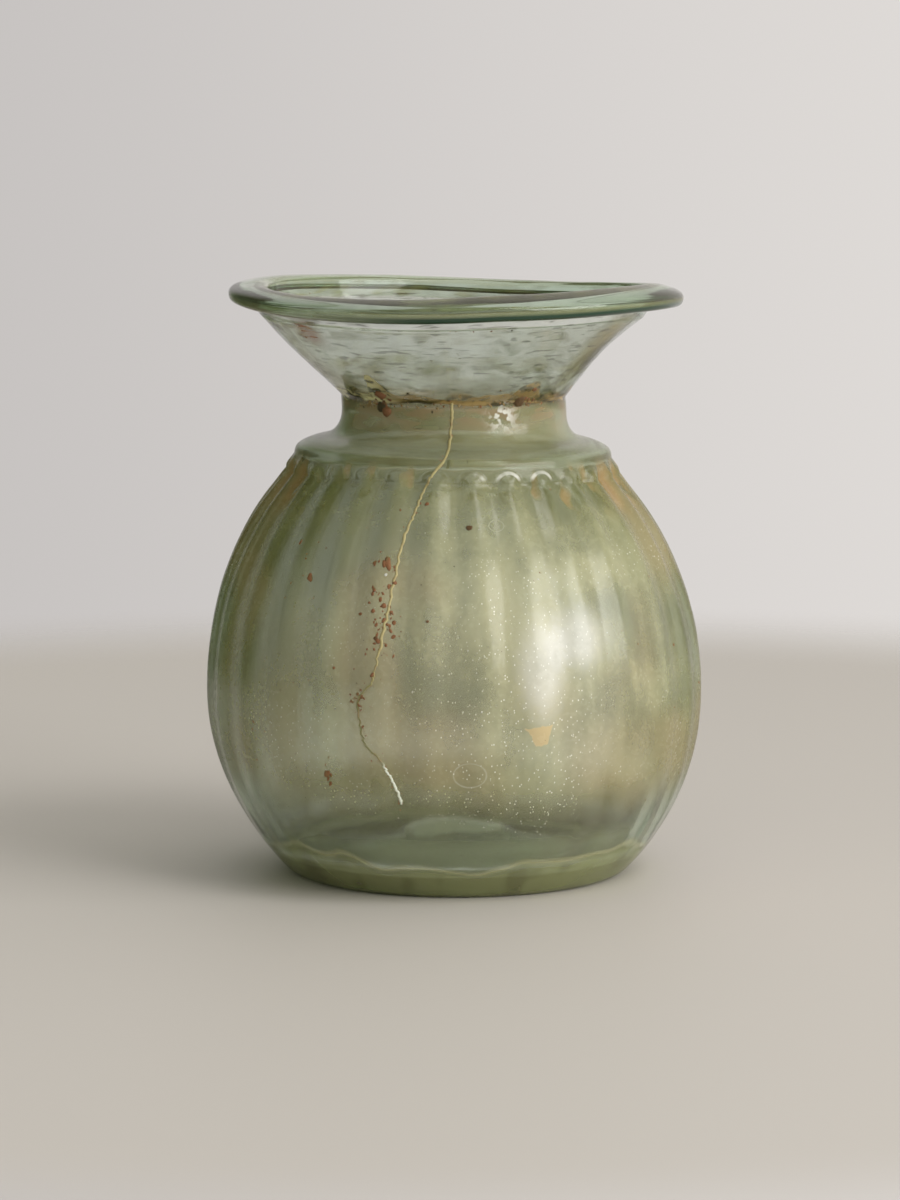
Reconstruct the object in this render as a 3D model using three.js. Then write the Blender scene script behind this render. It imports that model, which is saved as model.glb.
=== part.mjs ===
// Glass vase: a ribbed, mould-blown globe on a pushed-up base, with a smooth collar, a short neck
// and a funnel mouth that ends in a thick rolled lip. It is one piece of glass, empty and open above.
// Millimetres, +Z up. The origin is on the standing plane, under the widest part of the body.

import * as THREE from "three";

// Body: an oval whose lower part is cut off by the base and whose upper part ends at the collar.
const BODY_RADIUS = 38.7; // over the rib crests, at the widest level
const EQUATOR_HEIGHT = 29.3; // the widest level, above the standing plane
const BODY_DROP = 39.5; // lower half-axis of the oval
const BODY_RISE = 44.8; // upper half-axis of the oval
const BODY_WALL = 1.9;

// Base
const STANDING_RADIUS = 25.0; // outer edge of the flat ring that the vase stands on
const STANDING_WIDTH = 3.6; // width of that ring
const HEEL_HEIGHT = 1.2; // where the rounded heel runs into the body
const KICK_HEIGHT = 4.4; // how far the middle of the underside is pushed up
const FLOOR_THICKNESS = 3.2;
const FLOOR_FILLET = 3.0; // rounding between the floor and the wall, inside

// Ribs of the body
const RIB_COUNT = 28;
const RIB_DEPTH = 0.75; // crest to valley, at the rounded upper ends
const RIB_DEPTH_LOW = 0.25; // crest to valley, near the base
const RIB_HEAD = 2.7; // length of the rounded upper ends
const RIB_REACH = 2.4; // how far the ribs run up the side of the collar
const RIB_TAIL = 9.0; // length over which the lower ends fade out
const RIB_INSIDE = 0.5; // share of the relief that shows on the inner wall
const RIB_SHARPNESS = 0.9; // below 1 the crests are broader than the valleys
const RIB_START_DEG = -96.1; // azimuth of the first crest, with -90 at the front

// Collar and neck
const COLLAR_RADIUS = 25.8;
const COLLAR_BAND = 0.5; // upright foot of the collar
const COLLAR_RISE = 3.8; // from there to the corner that the collar's rounding is drawn into
const COLLAR_FLARE = 0.3; // how far that corner stands out
const COLLAR_SLOPE = 1.1; // rise of the collar's top towards the neck
const CREASE_WIDTH = 3.05; // how far the collar's inner edge stands out from the neck
const NECK_RADIUS = 17.45;
const NECK_WALL = 2.0;
const NECK_FLARE = 4.2; // height over which the collar sweeps up into the neck
const NECK_WAIST = 2.4; // upright part of the neck

// Funnel mouth and lip
const FUNNEL_HEIGHT = 14.9; // from the neck to the middle of the lip
const FUNNEL_WALL = 1.3;
const FUNNEL_SAG = 0.55; // how far the funnel's line curves in between neck and lip
const LIP_RADIUS = 35.3;
const LIP_WIDTH = 6.2;
const LIP_THICKNESS = 2.8;
const LIP_OVERHANG = 2.4; // how far the lip stands out beyond the line of the funnel
const LIP_FULLNESS = 2.8; // 2 gives the lip an oval section, and more makes it squarer
const LIP_LEAP = 0.3; // extra lip thickness at the front right, and as much less opposite
const LIP_SWELL = 0.5; // extra lip radius to the right, and as much less to the left
const LIP_ROLL_DEG = 10; // how far the lip's outer edge turns down, on average
const LIP_ROLL_SWING_DEG = 7; // more at the front right, less opposite
const LIP_HEAVY_DEG = -50; // azimuth of the heavier, more rolled side

// Unevenness of hand work
const LEAN_DEG = 2.6; // everything above the body's shoulder leans as one
const LEAN_SIDE_DEG = -109; // azimuth of the raised side
const RIM_SADDLE = 0.7; // twofold waviness of the mouth
const RIM_SADDLE_DEG = -29;
const BASE_SHIFT = 0.6; // how far the base stands to the right of the body's axis
const COLLAR_SHIFT = -0.2;
const NECK_SHIFT = 0.05;
const FUNNEL_SHIFT = -1.1; // of the middle of the funnel
const MOUTH_SHIFT = -0.15;

// Fineness of the faceted surface
const SIDES = 2 * RIB_COUNT; // round the smooth parts
const RIBBED_SIDES = 4 * RIB_COUNT; // round the ribbed wall
const LOWER_STEPS = 5;
const UPPER_STEPS = 8;
const INNER_LOWER_STEPS = 4;
const INNER_UPPER_STEPS = 6;
const LIP_STEPS = 9;

const TAU = 2 * Math.PI;
const QUARTER = Math.PI / 2;
const radians = THREE.MathUtils.degToRad;
const lerp = THREE.MathUtils.lerp;
const smoothstep = THREE.MathUtils.smoothstep;

// Radius of an oval centred at the equator, at height z.
function ovalRadius(radius, drop, rise, z) {
  const rel = (z - EQUATOR_HEIGHT) / (z < EQUATOR_HEIGHT ? drop : rise);
  return radius * Math.sqrt(Math.max(0, 1 - rel * rel));
}

// Height above the equator at which the upper half of an oval has the radius r.
function ovalHeight(radius, rise, r) {
  return EQUATOR_HEIGHT + rise * Math.sqrt(Math.max(0, 1 - (r / radius) ** 2));
}

// Levels of the outer surface, from the base up.
const GROOVE_Z = ovalHeight(BODY_RADIUS, BODY_RISE, COLLAR_RADIUS);
const COLLAR_Z = GROOVE_Z + COLLAR_BAND;
const CORNER_Z = COLLAR_Z + COLLAR_RISE;
const CORNER_RADIUS = COLLAR_RADIUS + COLLAR_FLARE;
const CREASE_Z = CORNER_Z + COLLAR_SLOPE;
const CREASE_RADIUS = NECK_RADIUS + CREASE_WIDTH;
const RIB_TOP_Z = COLLAR_Z + RIB_REACH;
const WAIST_Z = CREASE_Z + NECK_FLARE;
const FUNNEL_Z = WAIST_Z + NECK_WAIST;
const LIP_Z = FUNNEL_Z + FUNNEL_HEIGHT;
const LIP_CENTRE = LIP_RADIUS - LIP_WIDTH / 2;
const FUNNEL_RADIUS = LIP_RADIUS - LIP_OVERHANG;

// The funnel is nearly a straight cone and runs up into the lip.
const FUNNEL_SLOPE = (FUNNEL_RADIUS - NECK_RADIUS) / (LIP_Z - FUNNEL_Z);
const FUNNEL_WALL_LEVEL = FUNNEL_WALL * Math.hypot(1, FUNNEL_SLOPE); // measured on the level
function funnelRadius(z) {
  const share = (z - FUNNEL_Z) / (LIP_Z - FUNNEL_Z);
  return lerp(NECK_RADIUS, FUNNEL_RADIUS, share) - FUNNEL_SAG * Math.sin(Math.PI * share);
}

// Sideways shift of the hand-worked axis at height z.
function drift(z) {
  const shifts = [
    [0, BASE_SHIFT],
    [EQUATOR_HEIGHT, 0],
    [GROOVE_Z, COLLAR_SHIFT],
    [WAIST_Z, NECK_SHIFT],
    [(FUNNEL_Z + LIP_Z) / 2, FUNNEL_SHIFT],
    [LIP_Z, MOUTH_SHIFT],
  ];
  return shifts.slice(1).reduce((shift, [level, value], i) => {
    const [levelBelow, valueBelow] = shifts[i];
    return shift + (value - valueBelow) * smoothstep(z, levelBelow, level);
  }, BASE_SHIFT);
}

// Crest-to-valley depth of the ribs at height z. Above the heads it runs out over the collar's corner.
function ribDepth(z) {
  const tail = smoothstep(z, HEEL_HEIGHT, HEEL_HEIGHT + RIB_TAIL);
  const depth = lerp(RIB_DEPTH_LOW, RIB_DEPTH, smoothstep(z, HEEL_HEIGHT, GROOVE_Z));
  return depth * tail * (1 - smoothstep(z, RIB_TOP_Z - RIB_HEAD / 4, CORNER_Z));
}

// Height of the rib relief, from 0 in the valleys to 1 on the crests, with half-round upper ends.
function ribRelief(azimuth, z) {
  const across = Math.acos(Math.cos(RIB_COUNT * (azimuth - radians(RIB_START_DEG)))) / Math.PI;
  const beyond = Math.max(0, (z - RIB_TOP_Z) / RIB_HEAD + 1);
  const away = Math.min(1, Math.hypot(across, beyond));
  return ((1 + Math.cos(Math.PI * away)) / 2) ** RIB_SHARPNESS;
}

// A station is one ring of the vessel: its radius and height, the depth of the ribs there, the number
// of sides, how much of the mouth's unevenness it takes, and for the lip its angle on the lip's section.
function station(r, z, { rib = 0, sides = SIDES, mouth = 0, lip = null } = {}) {
  return { r, z, rib, sides, mouth, lip };
}

// Share of the mouth's unevenness at height z: none at the neck, all at the lip.
const mouthShare = (z) => smoothstep(z, FUNNEL_Z, LIP_Z);

function undersideStations() {
  const inner = STANDING_RADIUS - STANDING_WIDTH;
  const shares = [0.28, 0.55, 0.8];
  const dome = shares.map((s) => station(s * inner, kickHeight(s * inner)));
  return [...dome, station(inner, 0), station(STANDING_RADIUS, 0)];
}

// Height of the pushed-up underside at radius r.
function kickHeight(r) {
  const share = Math.min(1, r / (STANDING_RADIUS - STANDING_WIDTH));
  return (KICK_HEIGHT * (1 + Math.cos(Math.PI * share))) / 2;
}

// The heel is a rounded corner between the standing plane and the body's own slope.
function heelStations() {
  const top = ovalRadius(BODY_RADIUS, BODY_DROP, BODY_RISE, HEEL_HEIGHT);
  const corner = Math.max(STANDING_RADIUS, (top + STANDING_RADIUS) / 2);
  return [0.35, 0.7].map((t) => {
    const r = (1 - t) ** 2 * STANDING_RADIUS + 2 * t * (1 - t) * corner + t * t * top;
    return station(r, t * t * HEEL_HEIGHT);
  });
}

function bodyStations() {
  const start = Math.asin((EQUATOR_HEIGHT - HEEL_HEIGHT) / BODY_DROP);
  const end = Math.asin((GROOVE_Z - EQUATOR_HEIGHT) / BODY_RISE);
  const lower = Array.from({ length: LOWER_STEPS }, (_, i) => {
    const angle = start * (1 - i / LOWER_STEPS);
    return [angle, EQUATOR_HEIGHT - BODY_DROP * Math.sin(angle)];
  });
  const upper = Array.from({ length: UPPER_STEPS }, (_, i) => {
    const angle = (end * i) / UPPER_STEPS;
    return [angle, EQUATOR_HEIGHT + BODY_RISE * Math.sin(angle)];
  });
  const ribbed = { sides: RIBBED_SIDES };
  const wall = [...lower, ...upper].map(([angle, z]) =>
    station(BODY_RADIUS * Math.cos(angle), z, { rib: ribDepth(z), ...ribbed }),
  );
  return wall;
}

// Point of a curve that leaves the first point towards the corner and reaches the last one from it.
function rounded(first, corner, last, t) {
  const along = (i) => lerp(lerp(first[i], corner[i], t), lerp(corner[i], last[i], t), t);
  return [along(0), along(1)];
}

// Collar with its rounded corner and sloping top, then the sweep up into the neck.
function collarAndNeckStations() {
  const foot = [COLLAR_RADIUS, COLLAR_Z];
  const corner = [CORNER_RADIUS, CORNER_Z];
  const crease = [CREASE_RADIUS, CREASE_Z];
  const slope = COLLAR_SLOPE / (CORNER_RADIUS - CREASE_RADIUS);
  const neckCorner = [NECK_RADIUS, CREASE_Z + slope * CREASE_WIDTH];
  const round = [0.15, 0.3, 0.45, 0.6].map((t) => {
    const [r, z] = rounded(foot, corner, crease, t);
    return station(r, z, { rib: ribDepth(z), sides: RIBBED_SIDES });
  });
  const top = [0.8, 1].map((t) => station(...rounded(foot, corner, crease, t)));
  const sweep = [0.35, 0.65, 1].map((t) =>
    station(...rounded(crease, neckCorner, [NECK_RADIUS, WAIST_Z], t)),
  );
  const groove = station(COLLAR_RADIUS, GROOVE_Z, { rib: ribDepth(GROOVE_Z), sides: RIBBED_SIDES });
  return [groove, ...round, ...top, ...sweep, station(NECK_RADIUS, FUNNEL_Z)];
}

function funnelStations(levels, radiusAt) {
  return levels.map((z) => station(radiusAt(z), z, { mouth: mouthShare(z) }));
}

// Turns a cosine or sine into that of the lip's squarer oval.
const fuller = (value) => Math.sign(value) * Math.abs(value) ** (2 / LIP_FULLNESS);

// Section of the lip, from its underside round the outer edge and the top to its inner edge.
function lipStations() {
  return Array.from({ length: LIP_STEPS }, (_, i) => {
    const angle = lerp(radians(-105), radians(172), i / (LIP_STEPS - 1));
    return station(LIP_CENTRE, LIP_Z, { mouth: 1, lip: angle });
  });
}

// Inner wall, from the neck down to the floor.
function innerStations() {
  const bore = NECK_RADIUS - NECK_WALL;
  const radius = BODY_RADIUS - BODY_WALL;
  const rise = BODY_RISE - BODY_WALL;
  const drop = BODY_DROP - BODY_WALL;
  const collar = COLLAR_RADIUS - BODY_WALL;
  const groove = ovalHeight(radius, rise, collar);
  const crease = [Math.min(CREASE_RADIUS, collar), CREASE_Z - BODY_WALL];
  const neck = [0, 0.35, 0.7].map((t) =>
    station(...rounded([bore, WAIST_Z], [bore, CREASE_Z - NECK_WALL / 2], crease, t)),
  );
  const round = [0, 0.35, 0.7, 1].map((t) =>
    station(...rounded(crease, [collar, CORNER_Z - BODY_WALL], [collar, groove], t)),
  );
  const floorEdge = FLOOR_THICKNESS + FLOOR_FILLET;
  const end = Math.asin((groove - EQUATOR_HEIGHT) / rise);
  const start = Math.asin(Math.min(1, (EQUATOR_HEIGHT - floorEdge) / drop));
  const upper = Array.from({ length: INNER_UPPER_STEPS }, (_, i) => {
    const angle = end * (1 - (i + 1) / INNER_UPPER_STEPS);
    return [angle, EQUATOR_HEIGHT + rise * Math.sin(angle)];
  });
  const lower = Array.from({ length: INNER_LOWER_STEPS }, (_, i) => {
    const angle = (start * (i + 1)) / INNER_LOWER_STEPS;
    return [angle, EQUATOR_HEIGHT - drop * Math.sin(angle)];
  });
  const wall = [...upper, ...lower].map(([angle, z]) =>
    station(radius * Math.cos(angle), z, { rib: ribDepth(z) * RIB_INSIDE }),
  );
  return [...neck, ...round, ...wall, ...floorStations(radius * Math.cos(start), floorEdge)];
}

// Fillet from the wall's foot, then the floor, which follows the pushed-up underside.
function floorStations(wallRadius, wallZ) {
  const edge = wallRadius - FLOOR_FILLET;
  const floorZ = (r) => kickHeight(r) + FLOOR_THICKNESS;
  const fillet = [0.4, 0.75, 1].map((t) =>
    station(
      lerp(edge, wallRadius, Math.cos(t * QUARTER)),
      lerp(wallZ, floorZ(edge), Math.sin(t * QUARTER)),
    ),
  );
  const floor = [0.78, 0.56, 0.36, 0.17].map((s) => station(s * edge, floorZ(s * edge)));
  return [...fillet, ...floor];
}

// Place of a station's surface at an azimuth, with ribs, uneven mouth and leaning axis.
function place({ r, z, rib, mouth, lip }, azimuth) {
  let radius = r - rib * (1 - ribRelief(azimuth, z));
  let height = z;
  if (lip !== null) {
    const heavy = Math.cos(azimuth - radians(LIP_HEAVY_DEG));
    const roll = radians(LIP_ROLL_DEG + LIP_ROLL_SWING_DEG * heavy);
    const out = (LIP_WIDTH / 2) * fuller(Math.cos(lip));
    const up = ((LIP_THICKNESS + LIP_LEAP * heavy) / 2) * fuller(Math.sin(lip));
    radius += out * Math.cos(roll) + up * Math.sin(roll) + LIP_SWELL * Math.cos(azimuth);
    height += up * Math.cos(roll) + (LIP_WIDTH / 2 - out) * Math.sin(roll);
  }
  const leaning = Math.tan(radians(LEAN_DEG)) * smoothstep(z, EQUATOR_HEIGHT, GROOVE_Z);
  height += leaning * radius * Math.cos(azimuth - radians(LEAN_SIDE_DEG));
  height += mouth * RIM_SADDLE * Math.cos(2 * (azimuth - radians(RIM_SADDLE_DEG)));
  return [radius * Math.cos(azimuth) + drift(z), radius * Math.sin(azimuth), height];
}

// Joins rings of any number of sides into one closed surface, with a point at each end.
function closedSurface(rings, firstPoint, lastPoint) {
  const positions = [...firstPoint];
  const faces = [];
  const starts = rings.map(({ sides }, i) => {
    const first = positions.length / 3;
    for (let k = 0; k < sides; k += 1) {
      const azimuth = radians(RIB_START_DEG) + (TAU * k) / sides;
      positions.push(...place(rings[i], azimuth));
    }
    return first;
  });
  const last = positions.length / 3;
  positions.push(...lastPoint);
  rings.slice(1).forEach((upper, i) => {
    const lower = rings[i];
    let a = 0;
    let b = 0;
    while (a < lower.sides || b < upper.sides) {
      const onLower = starts[i] + (a % lower.sides);
      const onUpper = starts[i + 1] + (b % upper.sides);
      if ((a + 1) / lower.sides <= (b + 1) / upper.sides) {
        faces.push(onLower, starts[i] + ((a + 1) % lower.sides), onUpper);
        a += 1;
      } else {
        faces.push(onLower, starts[i + 1] + ((b + 1) % upper.sides), onUpper);
        b += 1;
      }
    }
  });
  const top = rings.length - 1;
  for (let k = 0; k < rings[0].sides; k += 1) {
    faces.push(0, starts[0] + ((k + 1) % rings[0].sides), starts[0] + k);
  }
  for (let k = 0; k < rings[top].sides; k += 1) {
    faces.push(last, starts[top] + k, starts[top] + ((k + 1) % rings[top].sides));
  }
  const geometry = new THREE.BufferGeometry();
  geometry.setAttribute("position", new THREE.Float32BufferAttribute(positions, 3));
  geometry.setIndex(faces);
  geometry.computeVertexNormals();
  return geometry;
}

function vaseGeometry() {
  const span = LIP_Z - FUNNEL_Z;
  const outerLevels = [0.12, 0.5, 0.82].map((s) => FUNNEL_Z + s * span);
  const innerLevels = [0.86, 0.5, 0.16, 0.02].map((s) => FUNNEL_Z + s * span);
  const bore = NECK_RADIUS - NECK_WALL;
  const innerRadius = (z) => Math.max(bore, funnelRadius(z) - FUNNEL_WALL_LEVEL);
  const rings = [
    ...undersideStations(),
    ...heelStations(),
    ...bodyStations(),
    ...collarAndNeckStations(),
    ...funnelStations(outerLevels, funnelRadius),
    ...lipStations(),
    ...funnelStations(innerLevels, innerRadius),
    ...innerStations(),
  ];
  const floorTop = KICK_HEIGHT + FLOOR_THICKNESS;
  const under = [drift(KICK_HEIGHT), 0, KICK_HEIGHT];
  return closedSurface(rings, under, [drift(floorTop), 0, floorTop]);
}

const glass = new THREE.MeshStandardMaterial({
  color: 0x9aa583,
  roughness: 0.25,
  metalness: 0,
  transparent: true,
  opacity: 0.6,
});

const vase = new THREE.Mesh(vaseGeometry(), glass);
vase.name = "glass_vase";

const group = new THREE.Group();
group.add(vase);

export default group;
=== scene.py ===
import math
import random

import bmesh
import bpy
from bpy.props import FloatProperty, FloatVectorProperty, IntProperty, PointerProperty
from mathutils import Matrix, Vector
from mathutils.bvhtree import BVHTree


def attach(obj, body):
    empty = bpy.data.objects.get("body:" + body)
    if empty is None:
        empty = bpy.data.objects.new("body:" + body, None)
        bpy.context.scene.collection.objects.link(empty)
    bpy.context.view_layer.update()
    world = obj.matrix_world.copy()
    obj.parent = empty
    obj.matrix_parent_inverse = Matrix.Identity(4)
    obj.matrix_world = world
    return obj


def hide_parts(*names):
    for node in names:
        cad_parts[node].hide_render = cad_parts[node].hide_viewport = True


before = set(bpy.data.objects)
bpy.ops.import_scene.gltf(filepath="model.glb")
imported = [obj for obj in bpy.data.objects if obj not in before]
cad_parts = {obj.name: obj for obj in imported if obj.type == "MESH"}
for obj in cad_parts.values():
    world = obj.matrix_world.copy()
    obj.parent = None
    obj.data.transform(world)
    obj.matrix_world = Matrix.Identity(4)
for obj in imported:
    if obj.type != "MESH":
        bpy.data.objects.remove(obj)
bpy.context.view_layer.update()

bl_info = {
    "name": "Ribbed glass vase",
    "version": (1, 0, 0),
    "blender": (4, 5, 0),
    "location": "3D View > Sidebar > Vase",
    "description": "Builds a weathered, ribbed, mould-blown glass vase",
    "category": "Add Mesh",
}

MM = 0.001
TURN = 2 * math.pi
QUARTER = math.pi / 2
FRONT_DEG = -90  # azimuth of the side that faces the camera
TARGET = Vector((-0.0006, 0.0, 0.04235))  # the point that the camera and the lights look at
WALL_SIDES = 280  # steps round the turned wall
OUT_OF_REACH = 0.2  # farther from the axis than any wall, in metres

# Marks on the wall, as (degrees to the right of the front, height in millimetres)
CRACK = (
    (-1.0, 75.5), (-1.5, 71.4), (-3.2, 68.0), (-8.6, 64.7), (-12.0, 60.4), (-14.5, 55.3), (-16.0, 46.7),
    (-18.1, 37.9), (-19.1, 35.2), (-22.2, 32.5), (-21.9, 29.4), (-20.8, 25.9), (-17.3, 23.5), (-15.1, 20.9),
    (-13.1, 17.7), (-12.7, 16.4),
)

# Patches of the film, as (degrees right, height, half width, half height, softness), sizes in millimetres
# Painted highlight on the neck, broken into sparkles
NECK_HIGHLIGHT = (25, 73.2, 4.4, 1.9, 0.8)
# Painted glints on the rib heads, on the right
HEAD_GLINT_PATCH = (24, 64.5, 8.5, 3.0, 0.3)
RUSTY_SMEAR = (-50, 86.5, 3.0, 2.0, 0.8)
FUNNEL_SMEAR = (60, 83, 4.0, 6.0, 0.8)

# The same, with a strength at the end; the crust's peaks have their height in metres there
# Painted highlights: reflections of the window light on the right of the body, painted as pearly film
# patches; the third is a fainter, larger one
HIGHLIGHT_PATCHES = (
    (20.5, 37.5, 3.4, 7.6, 0.5, 0.75),
    (31, 41.5, 4.2, 4.2, 0.7, 0.8),
    (29, 29, 6.5, 13.0, 0.4, 0.18),
)
WARM_STAINS = ((-16, 38, 7, 15, 0.95, 0.4), (-44, 27, 6, 14, 0.95, 0.6))
CRUST_PEAKS = ((-37, 77, 2.2, 4.0, 0.4, 0.002), (37, 77, 4.0, 3.0, 0.4, 0.0015))

# Levels over which one zone of the film fades into the next, in metres
FLOOR_END = (0.0135, 0.0085)
FOOT_FADE = (0.0105, 0.0200)
HEADS_START = (0.0560, 0.0615)
HEADS_END = (0.0665, 0.0645)
BODY_END = (0.0690, 0.0630)
NECK_END = (0.0755, 0.0735)
FUNNEL_START = (0.0735, 0.0780)
FUNNEL_END = (0.0895, 0.0880)
LIP_START = (0.0894, 0.0895)

# Levels of two lines in the film, and the levels between which the inner wall is bare, in metres
JUNCTION = 0.0748
FOOT_LINE = 0.0062
BARE_LEVELS = ((0.0137, 0.0625), (0.0790, 0.0890))

# Sizes of the film's patterns, in metres
CLOUD_SIZE = 0.017
STREAK_SIZE = 0.0028
GRAIN_SIZE = 0.0011
STAIN_SIZE = 0.021
RIBBON_SIZE = 0.0016
RAGGED_SIZE = 0.006
SCRATCH_SIZE = 0.00035
FOOT_WAVE_SIZE = 0.014
SPECK_SIZE = 0.0006

# Fixed colours: a single flake on the body, the crack's filling with a painted glint at its lower end, and
# the shade in dry earth
FLAKE_TONE = (0.62, 0.50, 0.27)
FILLING_LOW = (0.24, 0.23, 0.08)
FILLING_HIGH = (0.50, 0.43, 0.20)
FILLING_BROWN = (0.34, 0.24, 0.11)
# Painted glint: near-white colour on the crack's lower end, where light catches it
CRACK_GLINT = (0.92, 0.97, 0.84)
EARTH_SHADE = (0.08, 0.06, 0.03)

# The single flake's place, in degrees and millimetres, and the millimetres in a degree there
FLAKE_DEG, FLAKE_HEIGHT, FLAKE_SCALE = 19.9, 26.9, 0.59

# Thin oval outlines, as (degrees right, height, half width, half height)
RING_MARKS = ((12.5, 58.2, 1.3, 0.8), (3.7, 21.1, 2.2, 1.9))


def length(name, millimetres, description):
    """A size property, written in millimetres and kept in metres."""
    value = millimetres * MM
    return FloatProperty(name=name, description=description, default=value, unit="LENGTH", precision=5)


def angle(name, degrees, description):
    """An angle property, written in degrees."""
    return FloatProperty(name=name, description=description, default=math.radians(degrees), subtype="ANGLE")


def share(name, value, description):
    """A property from 0 to 1."""
    return FloatProperty(name=name, description=description, default=value, min=0, max=1, subtype="FACTOR")


def number(name, value, description):
    """A plain number property."""
    return FloatProperty(name=name, description=description, default=value)


def count(name, value, description):
    """A whole number property."""
    return IntProperty(name=name, description=description, default=value, min=1)


def colour(name, value, description):
    """A colour property, in linear light."""
    limits = {"min": 0, "max": 1}
    return FloatVectorProperty(name=name, description=description, default=value, subtype="COLOR", **limits)


class VaseForm(bpy.types.PropertyGroup):
    """Sizes of the blown wall; they are the same as the solid's."""

    body_radius: length("Body radius", 38.7, "Over the rib crests, at the widest level")
    equator: length("Widest level", 29.3, "Height of the widest level above the standing plane")
    body_drop: length("Body drop", 39.5, "Lower half-axis of the body's oval")
    body_rise: length("Body rise", 44.8, "Upper half-axis of the body's oval")
    body_wall: length("Body wall", 1.9, "Thickness of the body's wall")
    standing_radius: length("Standing radius", 25.0, "Outer edge of the ring that the vase stands on")
    standing_width: length("Standing ring width", 3.6, "Width of that ring")
    heel: length("Heel", 1.2, "Where the rounded heel runs into the body")
    kick: length("Kick", 4.4, "How far the middle of the underside is pushed up")
    floor: length("Floor", 3.2, "Thickness of the floor")
    floor_fillet: length("Floor fillet", 3.0, "Rounding between floor and wall, inside")
    collar_radius: length("Collar radius", 25.8, "Outer radius of the collar")
    collar_band: length("Collar band", 0.5, "Upright foot of the collar")
    collar_rise: length("Collar rise", 3.8, "From there to the corner that its rounding is drawn into")
    collar_flare: length("Collar flare", 0.3, "How far that corner stands out")
    collar_slope: length("Collar slope", 1.1, "Rise of the collar's top towards the neck")
    crease_width: length("Crease width", 3.05, "How far the collar's inner edge stands out from the neck")
    neck_radius: length("Neck radius", 17.45, "Outer radius of the neck")
    neck_wall: length("Neck wall", 2.0, "Thickness of the neck's wall")
    neck_flare: length("Neck flare", 4.2, "Height over which the collar sweeps up into the neck")
    neck_waist: length("Neck waist", 2.4, "Upright part of the neck")
    funnel_height: length("Funnel height", 14.9, "From the neck to the middle of the lip")
    funnel_wall: length("Funnel wall", 1.3, "Thickness of the funnel's wall")
    funnel_sag: length("Funnel sag", 0.55, "How far the funnel's line curves in between neck and lip")
    lip_radius: length("Lip radius", 35.3, "Outer radius of the lip")
    lip_width: length("Lip width", 6.2, "Width of the rolled lip")
    lip_thickness: length("Lip thickness", 2.8, "Thickness of the rolled lip")
    lip_overhang: length("Lip overhang", 2.4, "How far the lip stands out beyond the line of the funnel")
    lip_fullness: number("Lip fullness", 2.8, "2 gives the lip an oval section; more makes it squarer")


class VaseRibs(bpy.types.PropertyGroup):
    """Moulded ribs of the body."""

    ribs: count("Ribs", 28, "Number of ribs round the body")
    depth: length("Depth", 0.75, "Crest to valley, at the rounded upper ends")
    depth_low: length("Depth, low", 0.25, "Crest to valley, near the base")
    head: length("Head", 2.7, "Length of the rounded upper ends")
    reach: length("Reach", 2.4, "How far the ribs run up the side of the collar")
    tail: length("Tail", 9.0, "Length over which the lower ends fade out")
    bead: length("Bead", 0.30, "How far each rib swells out at its head")
    inside: share("Inside", 0.5, "Share of the relief that shows on the inner wall")
    sharpness: number("Sharpness", 0.9, "Below 1 the crests are broader than the valleys")
    start: angle("Start", -96.1, "Azimuth of the first crest")


class VaseHandwork(bpy.types.PropertyGroup):
    """Unevenness that hand work leaves."""

    base_shift: length("Base shift", 0.6, "Sideways shift of the base")
    collar_shift: length("Collar shift", -0.2, "Sideways shift of the collar")
    neck_shift: length("Neck shift", 0.05, "Sideways shift of the neck")
    funnel_shift: length("Funnel shift", -1.1, "Sideways shift of the middle of the funnel")
    mouth_shift: length("Mouth shift", -0.15, "Sideways shift of the mouth")
    lean: angle("Lean", 2.6, "Everything above the body's shoulder leans as one")
    lean_side: angle("Lean side", -109, "Azimuth of the raised side")
    saddle: length("Saddle", 0.7, "Twofold waviness of the mouth")
    saddle_side: angle("Saddle side", -29, "Azimuth of a high point of that waviness")
    roll: angle("Lip roll", 10, "How far the lip's outer edge turns down, on average")
    roll_swing: angle("Lip roll swing", 7, "More roll on the heavy side, and less opposite")
    heavy_side: angle("Heavy side", -50, "Azimuth of the lip's heavier side")
    leap: length("Lip leap", 0.3, "Extra lip thickness on the heavy side")
    swell: length("Lip swell", 0.5, "Extra lip radius to the right, and as much less to the left")
    waviness: length("Waviness", 0.22, "Slow unevenness of the walls")
    wave_size: length("Wave size", 17.0, "Breadth of that unevenness")
    ripple: length("Ripple", 0.035, "Small unevenness of the walls")
    ripple_size: length("Ripple size", 3.2, "Breadth of that small unevenness")


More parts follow.
